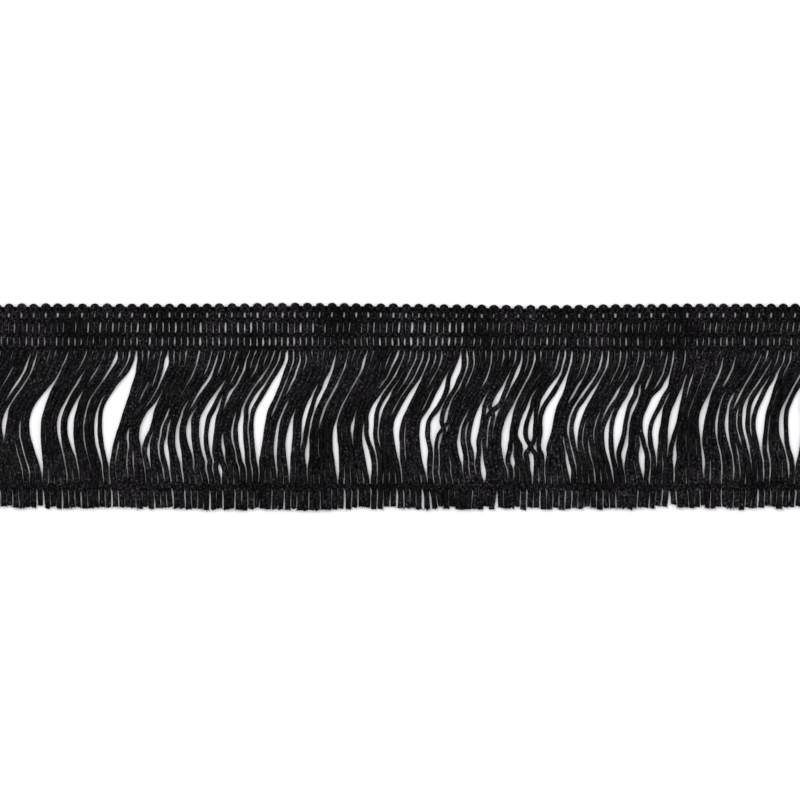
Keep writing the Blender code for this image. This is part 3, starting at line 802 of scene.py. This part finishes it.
def chainThreads(gaps, y, wider, random):
    # the two threads of one row, which pass each gap either side of a dark hole and cross over each
    # leg: with s counting the gaps, across * wider * cos(pi s) and dip + arch * sin^2(pi s) +
    # lap * sin(pi s), the second half a turn on. They are fuller along their two plies, and the
    # fuller parts get more painted highlight
    steps = chain["samples"] * (len(gaps) - 1) + 1
    s = np.arange(steps) / chain["samples"]
    turned = math.pi * (s + np.array([[0.0], [1.0]]))
    wander = chain["uneven"] * slowNoise(random, steps, 6, chain["samples"])
    x = np.interp(s, np.arange(len(gaps)), gaps) + wander[:, 0:2].T
    across = chain["across"] * wider * np.cos(turned) + wander[:, 2:4].T
    high = chain["dip"] + chain["arch"] * np.sin(turned) ** 2 + chain["lap"] * np.sin(turned)
    centre = np.stack([x, np.interp(x, gaps, y) + across, high + wander[:, 4:6].T], axis=-1)
    angle = roundRing(chain["sides"])
    ply = 2 * math.pi * np.arange(steps)[:, None] / chain["plyEvery"]
    fuller = chain["plies"] * np.cos(2 * (angle - ply))
    radius = chain["thread"] / 2 * (1 + fuller)
    return ringsOn(centre, angle, radius, radius)[0], 0.5 + 0.5 * fuller / chain["plies"]


def needleThread(gaps, y, wider):
    # the thread underneath a row, straight along it, which closes the holes from below, all in painted
    # shade
    centre = np.stack([gaps, y, np.full(len(gaps), chain["needleAt"])], axis=-1)
    halfWide, halfThick = chain["needleWide"] * wider / 2, chain["needleThick"] / 2
    return ringsOn(centre, roundRing(chain["sides"]), halfWide, halfThick)[0]


def makeChains(loops, material):
    # a row's stitches are set by where the legs are at its height
    random = np.random.default_rng(chain["seed"])
    rows = [(f"chain_row_{n}", at) for n, at in enumerate(layout["rowsAt"], start=1)]
    rows.append(("holding_row", layout["holdingAt"]))
    half = loops.shape[1] // 2
    stands = {"chain_row_1": ["heading"], "holding_row": ["holding_chain"]}
    for name, at in rows:
        top, holding = name == "chain_row_1", name == "holding_row"
        left = [np.interp(tipsY - at, leg[:half, 1], leg[:half, 0]) for leg in loops]
        right = [np.interp(at - tipsY, -leg[half:, 1], leg[half:, 0]) for leg in loops]
        legs = np.sort(left + right)
        middles = (legs[1:] + legs[:-1]) / 2
        gaps = np.array([legs[0] - chain["pastEnds"], *middles, legs[-1] + chain["pastEnds"]])
        y = tipsY - at - (tipDrop(gaps - middleX) if top else 0 * gaps)
        wider = chain["topWider"] if top else chain["holdingWider"] if holding else 1
        points, raised = chainThreads(gaps, y, wider, random)
        under = needleThread(gaps, y, wider)[None]
        if holding:
            points[..., 2] += yarn["lies"][1]
            under[..., 2] += yarn["lies"][1]
        # painted highlight along the fuller parts of the plies
        values = {"raised": raised, "shade": 0.5, "painted_shade": 0}
        newTubes(name, points, values, material, stands.get(name, []))
        # the thread underneath has no painted highlight and is all painted shade
        newTubes(f"{name}_needle_thread", under, {"raised": 0, "shade": 0.5, "painted_shade": 1}, material)
    print("chain rows:", len(rows))


# the surfaces. Pairs are what a value is multiplied by, and what is then added
looks = {
    "deep": (0.0014, 0.0012, 0.0015),
    # the colour of the painted highlights
    "lit": (0.124, 0.1155, 0.1275),
    "warm": (0.97, 1.05, 0.9),  # tints that the colour is multiplied by
    "cool": (1.05, 0.98, 1.06),
    # painted shade: the near-black colour painted down the stitch holes, beside the rows and on the thread
    # underneath
    "shade_black": (0.0003, 0.0003, 0.0003),  # down the holes of the stitches
    "roughness": 0.55,
    "threadRougher": 0.08,
    "specular": 0.01,
    "twist": 0.12,  # turns of the filaments to a ring
    "threadTwist": 0.3,
    "bump": (0.6, 0.00006),  # strength, and metres
    # painted shade in the grooves between stitches: this share less painted highlight there
    "knit": 0.7,  # how much less light the grooves catch
    # noises: scale, detail, and what becomes 0 and 1
    "filaments": (1.0, 3.0, 0.3, 0.7),
    "speckle": (2300.0, 0.0, 0.48, 0.84),
    "stitches": (1.0, 1.0, 0.54, 0.8),
    "fine": (6500.0, 1.0, 0.3, 0.7),
    "patch": (75.0, 2.0, 0.32, 0.52),
    "lively": (70.0, 1.0, 0.35, 0.65),
    "noiseRoughness": 0.6,
    "drawn": (22, 0.5, 1),
    "stitchScale": (5, 0.62, 1),
    "stitchLight": 0.8,
    "speckleExponent": 1.3,
    "fineLight": (0.7, 0.3),
    "livelyLight": (1.0, 0.55),
    "filamentLight": 0.02,
    "tinted": (0.6, 0.4),
    # roughness, lower where the painted highlight is
    "smoother": -0.2,  # where the light is caught
}


def addNode(tree, kind, **inputs):
    node = tree.nodes.new(kind)
    for name, value in inputs.items():
        node.inputs[name.replace("_", " ")].default_value = value
    return node


def mathNode(tree, operation, *values):
    # one step of arithmetic between sockets and numbers, giving its result's socket
    node = tree.nodes.new("ShaderNodeMath")
    node.operation = operation
    for place, given in zip(node.inputs, values):
        if isinstance(given, (int, float)):
            place.default_value = given
        else:
            tree.links.new(given, place)
    return node.outputs[0]


def mixNode(tree, share, first, second, blend="MIX"):
    # first * (1 - share) + second * share for colours, or with first * second for second
    node = tree.nodes.new("ShaderNodeMix")
    node.data_type = "RGBA"
    node.blend_type = blend
    tree.links.new(share, node.inputs["Factor"])
    tree.links.new(first, node.inputs["A"])
    tree.links.new(second, node.inputs["B"])
    return node.outputs["Result"]


def noiseNode(tree, place, name):
    # the named noise at the place, stretched so that its low becomes 0 and its high becomes 1
    scale, detail, low, high = looks[name]
    rough = looks["noiseRoughness"]
    noise = addNode(tree, "ShaderNodeTexNoise", Scale=scale, Detail=detail, Roughness=rough)
    tree.links.new(place, noise.inputs["Vector"])
    spread = addNode(tree, "ShaderNodeMapRange", From_Min=low, From_Max=high)
    tree.links.new(noise.outputs["Fac"], spread.inputs["Value"])
    return spread.outputs["Result"]


def spunYarnGroup():
    # fine filaments, painted highlights and painted shade for dark spun yarn: colour, roughness and height
    group = bpy.data.node_groups.new("spunYarn", "ShaderNodeTree")
    face = group.interface
    for way, kind, names in (
        ("INPUT", "Vector", ("Place", "Along")),
        ("INPUT", "Float", ("Raised", "Shade", "Painted_shade", "Roughness", "Twist", "Knit")),
        ("INPUT", "Color", ("Deep", "Lit", "Warm", "Cool", "Shade_black")),
        ("OUTPUT", "Color", ("Color",)),
        ("OUTPUT", "Float", ("Roughness", "Height")),
    ):
        for name in names:
            face.new_socket(name, in_out=way, socket_type="NodeSocket" + kind)

    def step(operation, *values):
        return mathNode(group, operation, *values)

    given = group.nodes.new("NodeGroupInput").outputs
    result = group.nodes.new("NodeGroupOutput").inputs

    # filaments: streaks that wind round the yarn, from noise drawn out along it
    parts = group.nodes.new("ShaderNodeSeparateXYZ")
    group.links.new(given["Along"], parts.inputs[0])
    streak = group.nodes.new("ShaderNodeCombineXYZ")
    wound = step("MULTIPLY_ADD", parts.outputs["Y"], given["Twist"], parts.outputs["X"])
    group.links.new(wound, streak.inputs["X"])
    group.links.new(parts.outputs["Y"], streak.inputs["Y"])
    drawn = addNode(group, "ShaderNodeMapping", Scale=looks["drawn"])
    group.links.new(streak.outputs[0], drawn.inputs["Vector"])
    filaments = noiseNode(group, drawn.outputs[0], "filaments")

    # speckle: painted highlights, as of fibres catching the light, a few tenths of a millimetre apart,
    # most on the crests
    across = addNode(group, "ShaderNodeMapping", Scale=looks["stitchScale"])
    group.links.new(given["Along"], across.inputs["Vector"])
    stitches = noiseNode(group, across.outputs[0], "stitches")
    speckle, fine, patch, lively = (
        noiseNode(group, given["Place"], name) for name in ("speckle", "fine", "patch", "lively")
    )
    stitches = step("MULTIPLY", stitches, looks["stitchLight"])
    caught = step("MAXIMUM", speckle, stitches)
    caught = step("POWER", caught, looks["speckleExponent"])
    # less painted highlight in the grooves, as painted shade
    crests = step("MULTIPLY_ADD", given["Raised"], given["Knit"], 1.0)
    crests = step("SUBTRACT", crests, given["Knit"])
    caught = step("MULTIPLY", caught, crests)
    for noise, light in ((fine, looks["fineLight"]), (lively, looks["livelyLight"])):
        caught = step("MULTIPLY", caught, step("MULTIPLY_ADD", noise, *light))
    share = step("MULTIPLY_ADD", filaments, looks["filamentLight"], caught)
    # the colour goes from Deep towards Lit by the painted highlight's share
    bright = mixNode(group, share, given["Deep"], given["Lit"])

    # tint: some yarn is a little warmer, some a little cooler, in patches
    tint = mixNode(group, patch, given["Warm"], given["Cool"])
    amount = step("MULTIPLY_ADD", given["Shade"], *looks["tinted"])
    tinted = mixNode(group, amount, bright, tint, "MULTIPLY")
    # painted shade: where its mask is 1, the colour becomes the near-black shade colour
    group.links.new(mixNode(group, given["Painted_shade"], tinted, given["Shade_black"]), result["Color"])
    rough = step("MULTIPLY_ADD", caught, looks["smoother"], given["Roughness"])
    group.links.new(rough, result["Roughness"])
    group.links.new(filaments, result["Height"])
    return group


def yarnMaterial(name, group, twist, roughness):
    material = bpy.data.materials.new(name)
    material.use_nodes = True
    tree = material.node_tree
    shader = tree.nodes["Principled BSDF"]
    shader.inputs["Specular IOR Level"].default_value = looks["specular"]
    spun = tree.nodes.new("ShaderNodeGroup")
    spun.node_tree = group
    spun.inputs["Twist"].default_value = twist
    spun.inputs["Roughness"].default_value = roughness
    spun.inputs["Knit"].default_value = looks["knit"]
    for socket in ("Deep", "Lit", "Warm", "Cool", "Shade_black"):
        spun.inputs[socket].default_value = (*looks[socket.lower()], 1)
    place = tree.nodes.new("ShaderNodeTexCoord")
    along = tree.nodes.new("ShaderNodeUVMap")
    along.uv_map = "alongYarn"
    tree.links.new(place.outputs["Object"], spun.inputs["Place"])
    tree.links.new(along.outputs["UV"], spun.inputs["Along"])
    for socket in ("Raised", "Shade", "Painted_shade"):
        read = tree.nodes.new("ShaderNodeAttribute")
        read.attribute_name = socket.lower()
        tree.links.new(read.outputs["Fac"], spun.inputs[socket])
    strength, distance = looks["bump"]
    bump = addNode(tree, "ShaderNodeBump", Strength=strength, Distance=distance)
    tree.links.new(spun.outputs["Height"], bump.inputs["Height"])
    tree.links.new(spun.outputs["Color"], shader.inputs["Base Color"])
    tree.links.new(spun.outputs["Roughness"], shader.inputs["Roughness"])
    tree.links.new(bump.outputs["Normal"], shader.inputs["Normal"])
    return material


# the table, the light and the camera
studio = {
    "floor": (0.935, 0.92, 0.945),
    "floorRoughness": 0.9,
    "floorSpecular": 0.1,
    "floorSize": 6.0,  # metres, as for the lights
    "floorAt": -0.02,
    "world": 0.76,
    "lights": (("key", (-0.5, 0.7, 1.6), 1.4, 16.0), ("fill", (0.8, -0.7, 1.6), 2.0, 6.0)),
    "frameWide": 195.4,
    "frameMiddle": (-4.59, -23.66),  # from halfway along the heading, and from the loop tips
    "lens": 250.0,
    "sensor": 36.0,
    "farthest": 20,  # metres
}


def makeFloor():
    half, low = studio["floorSize"] / 2, studio["floorAt"] * mm
    corners = [(-half, -half, low), (half, -half, low), (half, half, low), (-half, half, low)]
    mesh = bpy.data.meshes.new("floor")
    mesh.from_pydata(corners, [], [(0, 1, 2, 3)])
    material = bpy.data.materials.new("table_white")
    material.use_nodes = True
    shader = material.node_tree.nodes["Principled BSDF"]
    shader.inputs["Base Color"].default_value = (*studio["floor"], 1)
    shader.inputs["Roughness"].default_value = studio["floorRoughness"]
    shader.inputs["Specular IOR Level"].default_value = studio["floorSpecular"]
    mesh.materials.append(material)
    linked("floor", mesh)


def makeLight(name, at, size, power):
    light = bpy.data.lights.new(name, "AREA")
    light.shape = "DISK"
    light.size = size
    light.energy = power
    lamp = linked(name, light)
    lamp.location = at
    lamp.rotation_euler = (-lamp.location).to_track_quat("-Z", "Y").to_euler()


def makeStudio():
    scene = bpy.context.scene
    scene.world = bpy.data.worlds.new("studio")
    scene.world.use_nodes = True
    sky = scene.world.node_tree.nodes["Background"]
    sky.inputs["Color"].default_value = (1, 1, 1, 1)
    sky.inputs["Strength"].default_value = studio["world"]
    for light in studio["lights"]:
        makeLight(*light)
    scene.view_settings.view_transform = "Standard"
    camera = bpy.data.cameras.new("above")
    camera.lens = studio["lens"]
    camera.sensor_width = studio["sensor"]
    camera.clip_end = studio["farthest"]
    scene.camera = linked("above", camera)
    across, along = studio["frameMiddle"]
    away = studio["frameWide"] * mm * studio["lens"] / studio["sensor"]
    scene.camera.location = ((middleX + across) * mm, (tipsY + along) * mm, away)


spun = spunYarnGroup()
rougher = looks["roughness"] + looks["threadRougher"]
knitted = yarnMaterial("black_knitted_yarn", spun, looks["twist"], looks["roughness"])
threads = yarnMaterial("black_stitching_thread", spun, looks["threadTwist"], rougher)
loops = makeYarn(knitted)
makeChains(loops, threads)
makeFrays(loops, knitted)
makeFuzz(loops, knitted)
makeFloor()
makeStudio()
